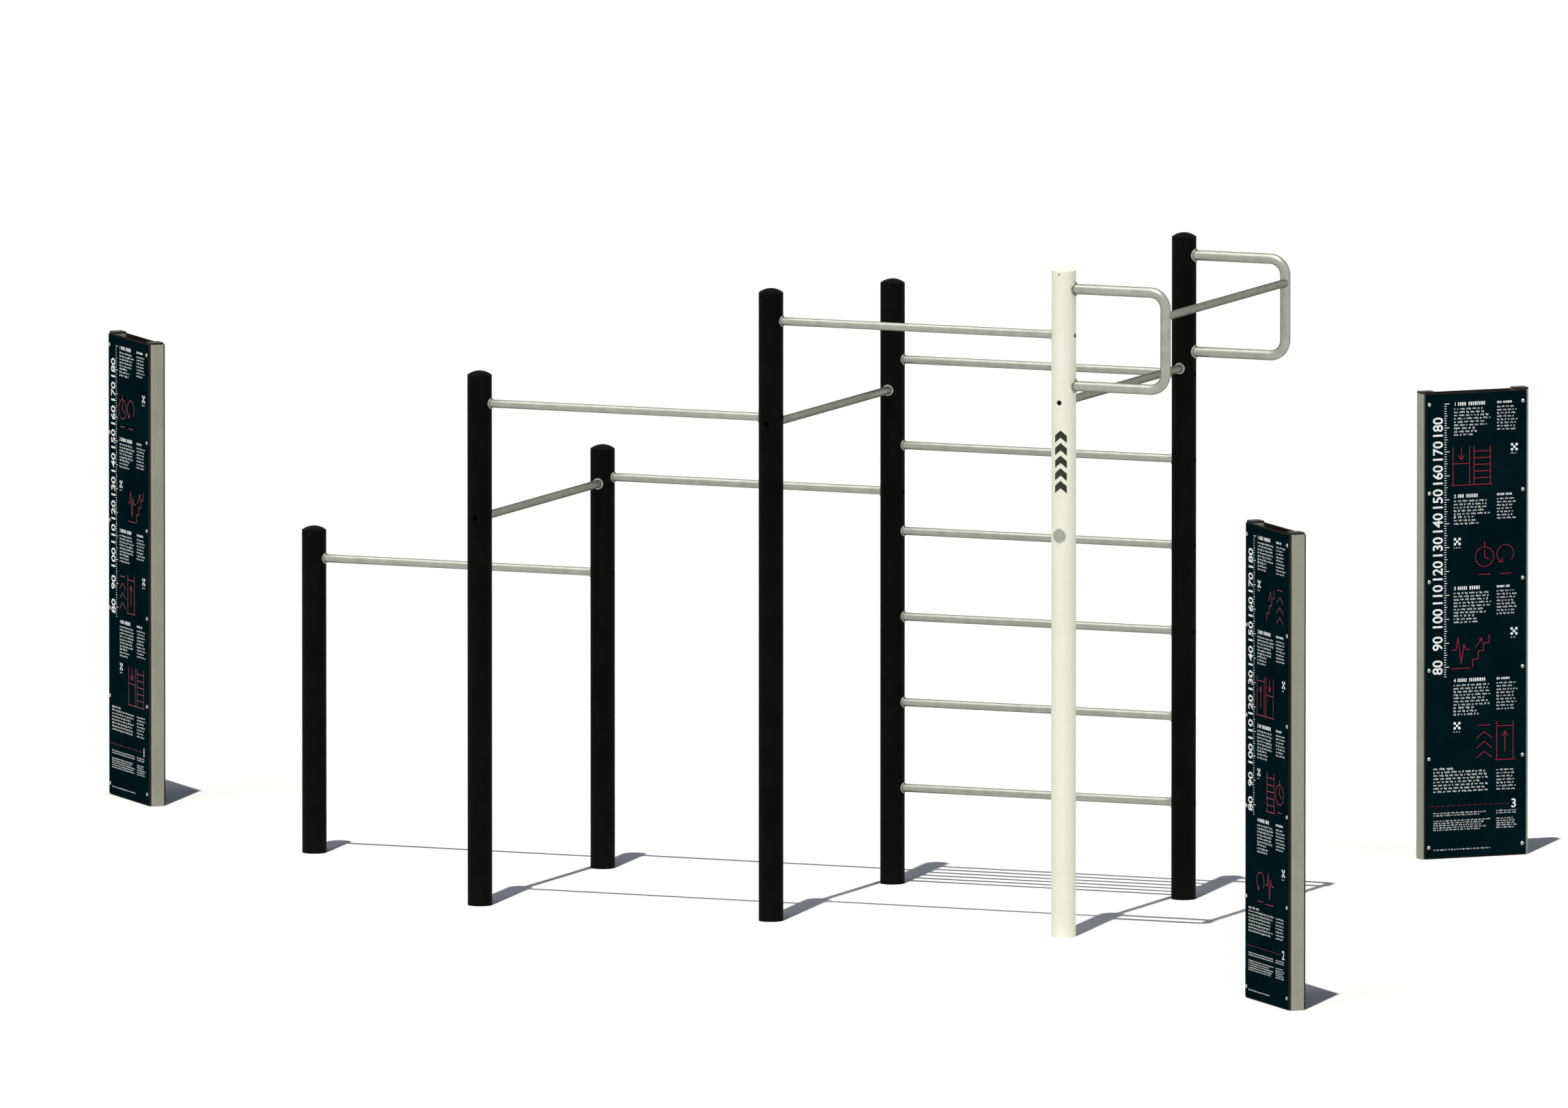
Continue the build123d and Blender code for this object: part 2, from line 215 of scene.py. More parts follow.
def coat(tree, shader, where, look):
    # Colour that drifts over patches, a grain in the roughness and a fine bump; returns the colour
    patches = addNode(tree, "TexNoise", {}, {
        "Vector": where, "Scale": 1 / look["patch"],
        "Detail": coatNoise["patchDetail"], "Roughness": coatNoise["patchRoughness"],
    })
    grain = addNode(tree, "TexNoise", {}, {
        "Vector": where, "Scale": 1 / look["grain"],
        "Detail": coatNoise["grainDetail"], "Roughness": coatNoise["grainRoughness"],
    })
    patchLow, patchHigh = coatNoise["patchRange"]
    drift = addNode(tree, "MapRange", {}, {0: patches.outputs[0], 1: patchLow, 2: patchHigh})
    colour = addNode(tree, "Mix", {"data_type": "RGBA"}, {
        0: drift.outputs[0], 6: linear(look["low"]), 7: linear(look["high"]),
    }).outputs[2]
    grainLow, grainHigh = coatNoise["grainRange"]
    rough = addNode(tree, "MapRange", {}, {
        0: grain.outputs[0], 1: grainLow, 2: grainHigh,
        3: look["roughness"][0], 4: look["roughness"][1],
    })
    bump = addNode(tree, "Bump", {}, {
        "Height": grain.outputs[0], "Strength": look["strength"], "Distance": look["grain"],
    })
    tree.links.new(colour, shader.inputs["Base Color"])
    tree.links.new(rough.outputs[0], shader.inputs["Roughness"])
    tree.links.new(bump.outputs[0], shader.inputs["Normal"])
    return colour


def layOver(tree, shader, share, under, over):
    # Shows a second colour over the first where share is 1, and feeds the shader with both
    both = addNode(tree, "Mix", {"data_type": "RGBA"}, {0: share, 6: under, 7: over})
    tree.links.new(both.outputs[2], shader.inputs["Base Color"])


def makePlainFinish(name, look):
    # A material that is its coat and nothing else
    material, tree, shader = startMaterial(name, look)
    coat(tree, shader, centredOn(tree), look)
    return material


# Polyester powder coat, baked on: matt, slightly orange-peeled, with a little dust on the foot
blackCoat = {
    "shader": {"IOR": 1.5, "Specular IOR Level": 0.02},
    "low": "#090909", "high": "#0e0e0d", "patch": 0.16,
    "grain": 0.003, "roughness": (0.55, 0.72), "strength": 0.10,
    "dust": "#141311", "dustHeight": 0.20, "dustDetail": 5.0, "dustRoughness": 0.7,
    "dustScale": 90.0,  # spots about 11 mm across
}


def makeBlackCoat(look):
    material, tree, shader = startMaterial("black powder coat", look)
    where = centredOn(tree)
    colour = coat(tree, shader, where, look)
    height = addNode(tree, "SeparateXYZ", {}, {0: where}).outputs[2]
    near = addNode(tree, "MapRange", {}, {
        0: height, 1: 0.0, 2: look["dustHeight"], 3: 1.0, 4: 0.0,
    }).outputs[0]
    spots = addNode(tree, "TexNoise", {}, {
        "Vector": where, "Scale": look["dustScale"],
        "Detail": look["dustDetail"], "Roughness": look["dustRoughness"],
    }).outputs[0]
    dusty = addNode(tree, "Math", {"operation": "MULTIPLY"}, {0: near, 1: spots}).outputs[0]
    layOver(tree, shader, dusty, colour, linear(look["dust"]))
    return material


# Satin powder coat in cream white. The tube's bore has only a primer of a duller tone.
creamCoat = {
    "shader": {"IOR": 1.5, "Specular IOR Level": 0.35},
    "low": "#f4f3de", "high": "#f9f8e6", "patch": 0.20,
    "grain": 0.003, "roughness": (0.38, 0.50), "strength": 0.08,
    "bore": "#d9d2bd", "boreRadius": 0.0490, "boreTop": 2.7499,
    "axis": middleOf("front_right_post"),
}


def makeCreamCoat(look):
    material, tree, shader = startMaterial("cream powder coat", look)
    where = centredOn(tree, look["axis"])
    colour = coat(tree, shader, where, look)
    flat = addNode(tree, "VectorMath", {"operation": "MULTIPLY"}, {0: where, 1: (1, 1, 0)}).outputs[0]
    reach = addNode(tree, "VectorMath", {"operation": "LENGTH"}, {0: flat}).outputs["Value"]
    height = addNode(tree, "SeparateXYZ", {}, {0: where}).outputs[2]
    inside = addNode(tree, "Math", {"operation": "LESS_THAN"}, {0: reach, 1: look["boreRadius"]}).outputs[0]
    below = addNode(tree, "Math", {"operation": "LESS_THAN"}, {0: height, 1: look["boreTop"]}).outputs[0]
    bored = addNode(tree, "Math", {"operation": "MULTIPLY"}, {0: inside, 1: below}).outputs[0]
    layOver(tree, shader, bored, colour, linear(look["bore"]))
    return material


# Stainless tube, ground and pickled: a soft metal with faint cloudy patches as long as a thumb
# and, on straight bars, the drawn lines that run along them. Its ground skin darkens where it is
# seen edge on, which the shader's tint gives.
satinSteel = {
    "shader": {"Metallic": 1.0, "Specular Tint": linear("#262625")},
    "low": "#9fa097", "high": "#abaca2", "patch": 0.045,
    "grain": 0.0022, "roughness": (0.36, 0.44), "strength": 0.04,
    "line": 0.0035, "lineLength": 0.30, "lineDepth": 0.06,
    "lineDetail": 3.0, "lineRoughness": 0.55, "lineRange": (0.35, 0.65),
}


def makeSatinSteel(name, look, along):
    # along is the direction of the drawn lines, 0 for X and 1 for Y
    material, tree, shader = startMaterial(name, look)
    where = centredOn(tree)
    colour = coat(tree, shader, where, look)
    scale = [1 / look["line"]] * 3
    scale[along] = 1 / look["lineLength"]
    drawn = addNode(tree, "Mapping", {}, {"Vector": where, "Scale": scale}).outputs[0]
    lines = addNode(tree, "TexNoise", {}, {
        "Vector": drawn, "Scale": 1.0,
        "Detail": look["lineDetail"], "Roughness": look["lineRoughness"],
    })
    lineLow, lineHigh = look["lineRange"]
    dark = addNode(tree, "MapRange", {}, {
        0: lines.outputs[0], 1: lineLow, 2: lineHigh, 3: 1 - look["lineDepth"], 4: 1.0,
    })
    lined = addNode(tree, "Mix", {"data_type": "RGBA", "blend_type": "MULTIPLY"}, {
        0: 1.0, 6: colour, 7: dark.outputs[0],
    })
    tree.links.new(lined.outputs[2], shader.inputs["Base Color"])
    return material


# Weld bead: the same steel, duller, with the straw and blue tint that heat leaves
weldMetal = {
    "shader": {"Metallic": 1.0},
    "low": "#7f7a68", "high": "#8f9096", "patch": 0.006,
    "grain": 0.0008, "roughness": (0.40, 0.62), "strength": 0.30,
}

# Stainless fasteners, turned and tumbled: brighter and finer than the tube
fastenerSteel = {
    "shader": {"Metallic": 1.0},
    "low": "#a9aaa4", "high": "#c4c5c0", "patch": 0.008,
    "grain": 0.0007, "roughness": (0.24, 0.40), "strength": 0.08,
}

# Blackened steel: the oxide of the grub screws, and painted shade on each screw's drive, whose shallow well
# is made dark to stand for a deep socket
blackOxide = {
    "shader": {"IOR": 1.5, "Specular IOR Level": 0.3},
    "low": "#0c0b0a", "high": "#1d1a17", "patch": 0.003,
    "grain": 0.0005, "roughness": (0.45, 0.65), "strength": 0.10,
}

# Zinc plate on the threaded plugs: pale, with a faint yellow passivation
zincPlate = {
    "shader": {"Metallic": 1.0},
    "low": "#a8a692", "high": "#c6c4ae", "patch": 0.010,
    "grain": 0.0010, "roughness": (0.30, 0.46), "strength": 0.08,
}

# Extruded aluminium with a warm grey powder coat
uprightCoat = {
    "shader": {"IOR": 1.5, "Specular IOR Level": 0.30},
    "low": "#979789", "high": "#9e9e91", "patch": 0.12,
    "grain": 0.0016, "roughness": (0.42, 0.58), "strength": 0.10,
}

# Compact laminate, pressed from resin-soaked paper: a teal-black printed skin over a brown core,
# which shows at the bevel, at the edges and on the bare inner face. The real layers are too fine
# to show, so the core is drawn as one wave about as long as a sheet is thick.
laminate = {
    "shader": {"IOR": 1.5, "Specular IOR Level": 0.0},
    "low": "#01161b", "high": "#051c21", "patch": 0.18,
    "grain": 0.0012, "roughness": (0.34, 0.46), "strength": 0.05,
    "skin": 0.0002, "core": "#3a342d", "layer": "#262019",
    "radian": 0.0016,  # the wave's length over 2 pi
    "waver": 0.6, "waveDetail": 1.0,
}
waveRate = 20  # radians that a wave texture turns over each unit of its scale


def makeLaminate(board, side, look):
    # side is -1 for the front sheet and 1 for the back one, along the board's own depth
    material, tree, shader = startMaterial(f"compact laminate {board} {side}", look)
    centre, turn = boardPlaces[board]
    where = centredOn(tree, centre, turn)
    colour = coat(tree, shader, where, look)
    deep = addNode(tree, "SeparateXYZ", {}, {0: where}).outputs[1]
    out = addNode(tree, "Math", {"operation": "MULTIPLY"}, {0: deep, 1: float(side)}).outputs[0]
    layers = addNode(tree, "TexWave", {"bands_direction": "Y"}, {
        "Vector": where, "Scale": 1 / look["radian"] / waveRate,
        "Distortion": look["waver"], "Detail": look["waveDetail"],
    })
    core = addNode(tree, "Mix", {"data_type": "RGBA"}, {
        0: layers.outputs["Fac"], 6: linear(look["core"]), 7: linear(look["layer"]),
    })
    bare = addNode(tree, "Math", {"operation": "LESS_THAN"}, {
        0: out, 1: boardDepth / 2 - look["skin"],
    }).outputs[0]
    layOver(tree, shader, bare, colour, core.outputs[2])
    return material


# Moulded polyethylene caps on the uprights: black, matt, with a fine spark-eroded texture
mouldedCaps = {
    "shader": {"IOR": 1.5, "Specular IOR Level": 0.20},
    "low": "#0f0e0d", "high": "#171614", "patch": 0.02,
    "grain": 0.0009, "roughness": (0.50, 0.66), "strength": 0.15,
}

# Round plate: bead-blasted stainless sheet, duller than the tube
blastedPlate = {
    "shader": {"IOR": 1.5, "Specular IOR Level": 0.40, "Metallic": 0.3},
    "low": "#a3a595", "high": "#aeb0a1", "patch": 0.012,
    "grain": 0.0008, "roughness": (0.50, 0.64), "strength": 0.12,
}

# Inks printed into the laminate's skin, and the vinyl film on the cream post
whiteInk = {
    "shader": {"IOR": 1.5, "Specular IOR Level": 0.25},
    "low": "#f3f6f4", "high": "#fdfefd", "patch": 0.02,
    "grain": 0.001, "roughness": (0.36, 0.46), "strength": 0.03,
}
redInk = {**whiteInk, "low": "#9e1526", "high": "#b01b2e"}
darkFilm = {
    **whiteInk, "low": "#282724", "high": "#302f2b", "patch": 0.03, "roughness": (0.32, 0.44),
}

# Boards: where each stands, read from its two uprights
boardTurns = {"left_board": -pi / 4, "front_board": -pi / 4, "rear_board": pi / 4}
boardPlaces = {}
for board, turn in boardTurns.items():
    corners = [corner for side in ("left", "right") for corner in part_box(f"{board}_{side}_upright")]
    centre = sum(corners, Vector()) / len(corners)
    boardPlaces[board] = ((centre.x, centre.y, 0.0), turn)

rowSteel = makeSatinSteel("satin stainless steel drawn along the rows", satinSteel, 0)
linkSteel = makeSatinSteel("satin stainless steel drawn across the rows", satinSteel, 1)
beadSteel = makePlainFinish("welded steel", weldMetal)
# The blackened steel is real oxide on the grub screws and painted socket shade on the screw drives
oxideSteel = makePlainFinish("black oxide steel", blackOxide)
whitePrint = makePlainFinish("white print", whiteInk)
redPrint = makePlainFinish("red print", redInk)
filmVinyl = makePlainFinish("charcoal vinyl film", darkFilm)

slotMaterials = {
    "black_powder_coat": makeBlackCoat(blackCoat),
    "cream_powder_coat": makeCreamCoat(creamCoat),
    "satin_steel": makePlainFinish("satin stainless steel", satinSteel),
    "stainless_fasteners": makePlainFinish("tumbled stainless steel", fastenerSteel),
    "blackened_fasteners": oxideSteel,
    "zinc_fittings": makePlainFinish("zinc plated steel", zincPlate),
    "board_upright": makePlainFinish("grey coated aluminium", uprightCoat),
    "black_plastic": makePlainFinish("black moulded plastic", mouldedCaps),
    "grey_plate": makePlainFinish("bead-blasted steel", blastedPlate),
}


def dressNodes():
    for part in frame["record"]["subparts"]:
        name, slot = part["node"], part["material_slot"]
        if slot == "board_laminate":
            board = "_".join(name.split("_")[:2])
            finish = makeLaminate(board, -1 if name.endswith("front_sheet") else 1, laminate)
        elif name.endswith("link_bar") or name == "grip_bar":
            finish = linkSteel
        elif name.endswith("_bar") or name.startswith("wall_bar"):
            finish = rowSteel
        else:
            finish = slotMaterials[slot]
        nodes[name].data.materials[0] = finish


dressNodes()
print("materials")


# New pieces. Each is modelled where it belongs or moved there with its mesh, so its object stays
# at the origin.

def select(*pieces):
    bpy.ops.object.select_all(action="DESELECT")
    for piece in pieces:
        piece.select_set(True)
    bpy.context.view_layer.objects.active = pieces[0]


def freeze(piece):
    # Moves the piece's place from its object into its mesh
    piece.data.transform(piece.matrix_basis)
    piece.matrix_basis = Matrix.Identity(4)
    return piece


def copyTo(template, place):
    # A copy with its own mesh, moved by a matrix
    twin = template.copy()
    twin.data = template.data.copy()
    twin.data.transform(place)
    bpy.context.scene.collection.objects.link(twin)
    return twin


def joined(parts):
    select(*parts)
    if len(parts) > 1:
        bpy.ops.object.join()
    return bpy.context.object


def finishPiece(name, parts, finish):
    piece = joined(parts)
    piece.name = piece.data.name = name
    piece.data.materials.clear()
    piece.data.materials.append(finish)
    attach(piece, "root")
    print("piece:", name)


def remove(piece):
    bpy.data.objects.remove(piece)


# Weld beads where the grip bar's ends meet the uprights of the two brackets
gripWeld = {
    "bead": 0.0024, "armRadius": 0.0212, "segments": 96, "beadSegments": 12,
    "ripples": 32, "rippleShare": 0.14,
}


def makeGripWelds(look):
    low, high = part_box("grip_bar")
    barX, barZ = (low.x + high.x) / 2, (low.z + high.z) / 2
    barRadius = (high.z - low.z) / 2
    beads = []
    for bracket, inward in (("front_grip_bracket", 1), ("rear_grip_bracket", -1)):
        armLow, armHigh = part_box(bracket)
        row = (armLow.y + armHigh.y) / 2
        bpy.ops.object.select_all(action="DESELECT")
        bpy.ops.mesh.primitive_torus_add(
            location=(barX, row, barZ), rotation=(pi / 2, 0, 0),
            major_radius=barRadius, minor_radius=look["bead"],
            major_segments=look["segments"], minor_segments=look["beadSegments"],
        )
        bead = freeze(bpy.context.object)
        for vertex in bead.data.vertices:
            # Swell each ripple about the ring, then lay the ring on the round upright
            across = Vector((vertex.co.x - barX, 0, vertex.co.z - barZ))
            ring = across.normalized() * barRadius
            angle = Vector((ring.x, ring.z)).angle_signed(Vector((1, 0)))
            swell = 1 + look["rippleShare"] * sin(look["ripples"] * angle)
            middle = Vector((barX, row, barZ)) + ring
            vertex.co = middle + (vertex.co - middle) * swell
            side = min(across.x ** 2, barRadius ** 2)
            vertex.co.y += inward * sqrt(look["armRadius"] ** 2 - side)
        select(bead)
        bpy.ops.object.shade_smooth()
        beads.append(bead)
    finishPiece("grip_bar_welds", beads, beadSteel)


makeGripWelds(gripWeld)


# Screw drives: a shallow hexagonal well with a pin, on every button head of the boards, in the blackened
# steel as painted shade of a deep socket
screwDrive = {
    "across": 0.0050, "rim": 0.0004, "height": 0.0003, "sink": 0.0002, "pin": 0.0016,
    "wall": 0.00002, "headHeight": 0.0044,
    "rows": 6, "inset": 0.018, "margin": 0.046,
    "sheetWidth": 0.457, "sheetHeight": 1.943, "groundGap": 0.002,
}


def makeDriveTemplate(look):
    bpy.ops.object.select_all(action="DESELECT")
    bpy.ops.mesh.primitive_cylinder_add(
        vertices=6, radius=look["across"] / sqrt(3), depth=look["height"],
    )
    drive = freeze(bpy.context.object)
    bpy.ops.object.mode_set(mode="EDIT")
    bpy.ops.mesh.select_all(action="DESELECT")
    bpy.ops.object.mode_set(mode="OBJECT")
    for face in drive.data.polygons:
        face.select = face.normal.z > 0.9  # the face that looks up
    well = look["across"] / 2 - look["rim"] - look["pin"] / 2
    bpy.ops.object.mode_set(mode="EDIT")
    bpy.ops.mesh.inset(thickness=look["rim"], depth=0)
    bpy.ops.mesh.inset(thickness=look["wall"], depth=-look["sink"])
    bpy.ops.mesh.inset(thickness=well, depth=0)
    bpy.ops.mesh.inset(thickness=look["wall"], depth=look["sink"])
    bpy.ops.object.mode_set(mode="OBJECT")
    return drive


def makeScrewDrives(look):
    drive = makeDriveTemplate(look)
    pitch = (look["sheetHeight"] - 2 * look["margin"]) / (look["rows"] - 1)
    column = look["sheetWidth"] / 2 - look["inset"]
    out = boardDepth / 2 + look["headHeight"] + look["height"] / 2
    for board, (centre, turn) in boardPlaces.items():
        stand = Matrix.Translation(centre) @ Matrix.Rotation(turn, 4, "Z")
        copies = []
        for side, tilt in ((-1, pi / 2), (1, -pi / 2)):
            for x in (-column, column):
                for row in range(look["rows"]):
                    z = look["groundGap"] + look["margin"] + row * pitch
                    place = stand @ Matrix.Translation((x, side * out, z))
                    copies.append(copyTo(drive, place @ Matrix.Rotation(tilt, 4, "X")))
        # Painted shade: the drives are dark to stand for deep sockets
        finishPiece(f"{board}_screw_drives", copies, oxideSteel)
    remove(drive)


makeScrewDrives(screwDrive)


# Prints on the boards: a plain height scale, blocks that only suggest text and simple red signs.
# Nothing on them can be read but the scale's figures and the numbers of the board and its sections.
boardPrint = {
    "ink": 0.0002, "sunk": 0.00005, "seed": 11,
    "left": -0.190, "columns": ((-0.100, 0.072), (0.094, 0.1875)),
    # Letters and lines
    "letters": (2, 6), "versions": 4,
    "letterWidth": (0.0013, 0.0027), "letterGap": 0.0019, "space": 0.0085,
    "letterSpans": ((0, 0.0050), (0, 0.0050), (0, 0.0050), (0, 0.0074), (-0.0020, 0.0050)),
    "linePitch": 0.0135,
    "ragged": 0.20,  # the most that a line falls short, as a share of its length
    "boldText": 1.25, "slimText": 0.9, "smallText": 0.75,
    # Headings
    "headingHeight": 0.0145, "headingLetter": (0.0042, 0.0078), "headingGap": 0.0038,
    "wordLetters": (3, 6),
    "wordGap": 3.2,  # in gaps between letters
    "numberInset": 0.005, "headingInset": 0.018, "headingCut": (0.02, 0.06),
    "slimHeading": 0.62, "slimHeadingCut": (0.015, 0.04),
    "slimHeadingDrop": 0.8,  # as a share of the heading's height
    # Sections
    "sectionTop": 1.905, "sectionPitch": 0.385, "sections": 4,
    "textDrop": 1.2,  # in lines
    "textRows": (5, 7), "slimRows": (7, 9),
    "boldLine": 0.11, "closingLine": 0.115, "closingRows": 2,
    "signPlaces": (0.085, -0.020), "signDrop": 0.265, "signPitch": 0.094,
    "square": 0.031, "squareDrop": 0.197, "captionDrop": 0.012,
    "cellsAcross": 3, "whiteCells": ((0, 0), (2, 0), (1, 1), (0, 2), (2, 2)),
    # Foot
    "footTop": 0.372, "footLines": 7, "boardNumber": 0.036, "boardNumberInset": 0.016,
    "ruleZ": 0.219, "ruleDash": 0.014, "ruleGap": 0.010, "ruleStroke": 0.0014,
    "ruleOverhang": 0.012, "ruleEnd": 0.032,
    "smallTop": 0.188, "smallPitch": 0.0095, "smallRows": (0, 1, 3.4, 4.4, 5.4, 6.4, 7.4),
    "lastLine": 0.035,
}

# Height scale in centimetres up the left edge, measured from the ground
heightScale = {
    "figures": 0.043, "baseline": -0.1515, "lowest": 80, "highest": 180, "figuresEvery": 10,
    "ticksFrom": 76, "ticksTo": 191, "tickX": -0.143, "tickHeight": 0.0030,
    "tick": 0.009, "longTick": 0.022, "longEvery": 10,
    "middleTick": 1.5,  # times as long as a plain tick
    "middleEvery": 5,
}
centimetres = 100  # in a metre

# Figures: their height as a share of the font's size, and by how much of their height their
# outline is drawn bolder
figureLook = {"height": 0.7, "bolder": 0.024}


def arcPoints(x, z, radius, start, end, steps):
    # Points along an arc, from one angle in degrees to another
    turns = [radians(start + (end - start) * step / steps) for step in range(steps + 1)]
    return [(x + radius * cos(turn), z + radius * sin(turn)) for turn in turns]


# Signs as lines through points, in half-heights of a sign. Each stroke of a sign is a little
# thicker than the one before, so that crossing strokes lie one over the other.
signLook = {"halfHeight": 0.082, "stroke": 0.0026, "thicker": 0.03}
signFrame = [
    [(-0.45, -1.0), (-0.45, 0.95)], [(0.45, -1.0), (0.45, 0.95)], [(-0.55, -1.0), (0.55, -1.0)],
]
signFoot = [(-0.3, -0.9), (0.3, -0.9)]
boardSigns = [
    # a frame with a high bar and an arrow up
    signFrame + [
        [(-0.45, 0.72), (0.45, 0.72)], [(0, -0.60), (0, 0.45)],
        [(-0.16, 0.20), (0, 0.45), (0.16, 0.20)],
    ],
    # a frame with a low bar and an arrow down
    signFrame + [
        [(-0.45, 0.10), (0.45, 0.10)], [(0, 0.90), (0, 0.28)],
        [(-0.16, 0.52), (0, 0.28), (0.16, 0.52)],
    ],
    # a ladder
    signFrame + [[(-0.45, rung), (0.45, rung)] for rung in (-0.66, -0.32, 0.02, 0.36, 0.70)],
    # a stopwatch
    [
        arcPoints(0, 0, 0.50, 0, 360, 28), [(0, 0.34), (0, 0), (0.24, -0.16)], signFoot,
        [(0, 0.5), (0, 0.72)],
    ],
    # a turn
    [
        arcPoints(0, 0.1, 0.46, -40, 250, 24), [(-0.36, -0.30), (-0.16, -0.33), (-0.19, -0.12)],
        signFoot,
    ],
    # a pulse
    [
        [(-0.5, 0), (-0.28, 0), (-0.16, 0.62), (0.02, -0.70), (0.16, 0.30), (0.26, 0), (0.5, 0)],
        [(-0.5, -0.95), (0.5, -0.95)],
    ],
    # steps with an arrow
    [
        [
            (-0.5, -0.9), (-0.5, -0.5), (-0.2, -0.5), (-0.2, -0.1),
            (0.1, -0.1), (0.1, 0.3), (0.4, 0.3), (0.4, 0.7),
        ],
        [(-0.35, 0.1), (0.0, 0.55)], [(-0.16, 0.53), (0.0, 0.55), (0.0, 0.36)],
    ],
    # three chevrons under a bar
    [[(-0.4, low), (0, low + 0.32), (0.4, low)] for low in (-0.85, -0.35, 0.15)]
    + [[(-0.3, 0.8), (0.3, 0.8)]],
]


def makeInkSlab():
    # A unit slab, scaled for each letter, rung and stroke
    bpy.ops.object.select_all(action="DESELECT")
    bpy.ops.mesh.primitive_plane_add(size=1.0, location=(0, -0.5, 0), rotation=(pi / 2, 0, 0))
    slab = freeze(bpy.context.object)
    bpy.ops.object.mode_set(mode="EDIT")
    bpy.ops.mesh.select_all(action="SELECT")
    bpy.ops.mesh.extrude_region_move(TRANSFORM_OT_translate={"value": (0, 1, 0)})
    bpy.ops.mesh.select_all(action="SELECT")
    bpy.ops.mesh.normals_make_consistent(inside=False)
    bpy.ops.object.mode_set(mode="OBJECT")
    return slab


def block(slab, left, right, low, high):
    # An upright rectangle of the board's face, one unit thick
    middle = Matrix.Translation(((left + right) / 2, 0, (low + high) / 2))
    return copyTo(slab, middle @ Matrix.Diagonal((right - left, 1, high - low, 1)))


def stroke(slab, start, end, width, thickness=1.0):
    # A straight stroke between two points (x, z), longer by its width so that corners close
    run = Vector((end[0] - start[0], 0, end[1] - start[1]))
    middle = Matrix.Translation(((start[0] + end[0]) / 2, 0, (start[1] + end[1]) / 2))
    lean = Matrix.Rotation(-atan2(run.z, run.x), 4, "Y")
    size = Matrix.Diagonal((run.length + width, thickness, width, 1))
    return copyTo(slab, middle @ lean @ size)


def figures(number, height):
    # Plain figures one unit thick, centred on their width, with their foot at zero
    bpy.ops.object.select_all(action="DESELECT")
    bpy.ops.object.text_add(rotation=(pi / 2, 0, 0))
    label = bpy.context.object
    label.data.body = str(number)
    label.data.align_x = "CENTER"
    label.data.size = height / figureLook["height"]
    label.data.offset = height * figureLook["bolder"]
    label.data.extrude = 0.5
    bpy.ops.object.convert(target="MESH")
    return freeze(bpy.context.object)


def makeWords(slab, look, draw):
    # Rows of letter-sized blocks, a few of each length, each with its width
    words = []
    for letters in range(look["letters"][0], look["letters"][1] + 1):
        for version in range(look["versions"]):
            x, blocks = 0.0, []
            for letter in range(letters):
                width = draw.uniform(*look["letterWidth"])
                low, high = draw.choice(look["letterSpans"])
                blocks.append(block(slab, x, x + width, low, high))
                x += width + look["letterGap"]
            words.append((x - look["letterGap"], joined(blocks)))
    return words


def makeHeightScale(slab, look):
    parts = []
    upwards = Matrix.Rotation(-pi / 2, 4, "Y")
    for height in range(look["lowest"], look["highest"] + 1, look["figuresEvery"]):
        label = figures(height, look["figures"])
        place = Matrix.Translation((look["baseline"], 0, height / centimetres))
        label.data.transform(place @ upwards)
        parts.append(label)
    half = look["tickHeight"] / 2
    for height in range(look["ticksFrom"], look["ticksTo"]):
        length = look["tick"]
        if height % look["longEvery"] == 0:
            length = look["longTick"]
        elif height % look["middleEvery"] == 0:
            length *= look["middleTick"]
        z = height / centimetres
        parts.append(block(slab, look["tickX"], look["tickX"] + length, z - half, z + half))
    return joined(parts)


